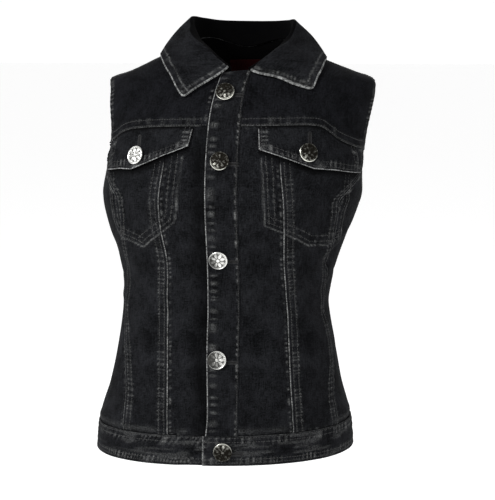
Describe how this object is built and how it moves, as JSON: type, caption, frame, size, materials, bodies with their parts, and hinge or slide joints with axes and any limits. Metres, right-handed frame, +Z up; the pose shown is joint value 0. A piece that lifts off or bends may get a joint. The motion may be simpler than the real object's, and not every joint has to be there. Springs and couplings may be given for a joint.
{
  "type": "denim vest",
  "caption": "Sleeveless denim vest held in its worn shape, with a turned-down collar, a buttoned front, flapped chest pockets, long seams and a waistband.",
  "frame": {"origin": "on the body's upright axis at the height of the shoulder tips, where the wearer's shoulders carry the vest", "axes": "+Z up, the front faces -Y, +X is the wearer's left"},
  "size_m": [0.3374, 0.2302, 0.5227],
  "materials": {
    "denim": "washed black cotton twill, matt, with pale worn edges",
    "pocketing": "plain dark cotton, matt",
    "label": "plain dark red woven tape, blank",
    "button_metal": "antique nickel with dark hollows"
  },
  "bodies": {
    "root": {"front_yoke_right": "denim", "front_yoke_left": "denim", "back_yoke": "denim", "front_centre_right": "denim", "front_middle_right": "denim", "front_side_right": "denim", "back_side_right": "denim", "front_centre_left": "denim", "front_middle_left": "denim", "front_side_left": "denim", "back_side_left": "denim", "back_centre": "denim", "placket": "denim", "button_stand": "denim", "waistband": "denim", "armhole_hem_right": "denim", "armhole_hem_left": "denim", "pocket_flap_right": "denim", "pocket_bag_right": "pocketing", "pocket_flap_left": "denim", "pocket_bag_left": "pocketing", "neck_label": "label", "collar": "denim", "button_1": "button_metal", "button_2": "button_metal", "button_3": "button_metal", "button_4": "button_metal", "button_5": "button_metal", "flap_button_right": "button_metal", "flap_button_left": "button_metal"}
  },
  "joints": []
}
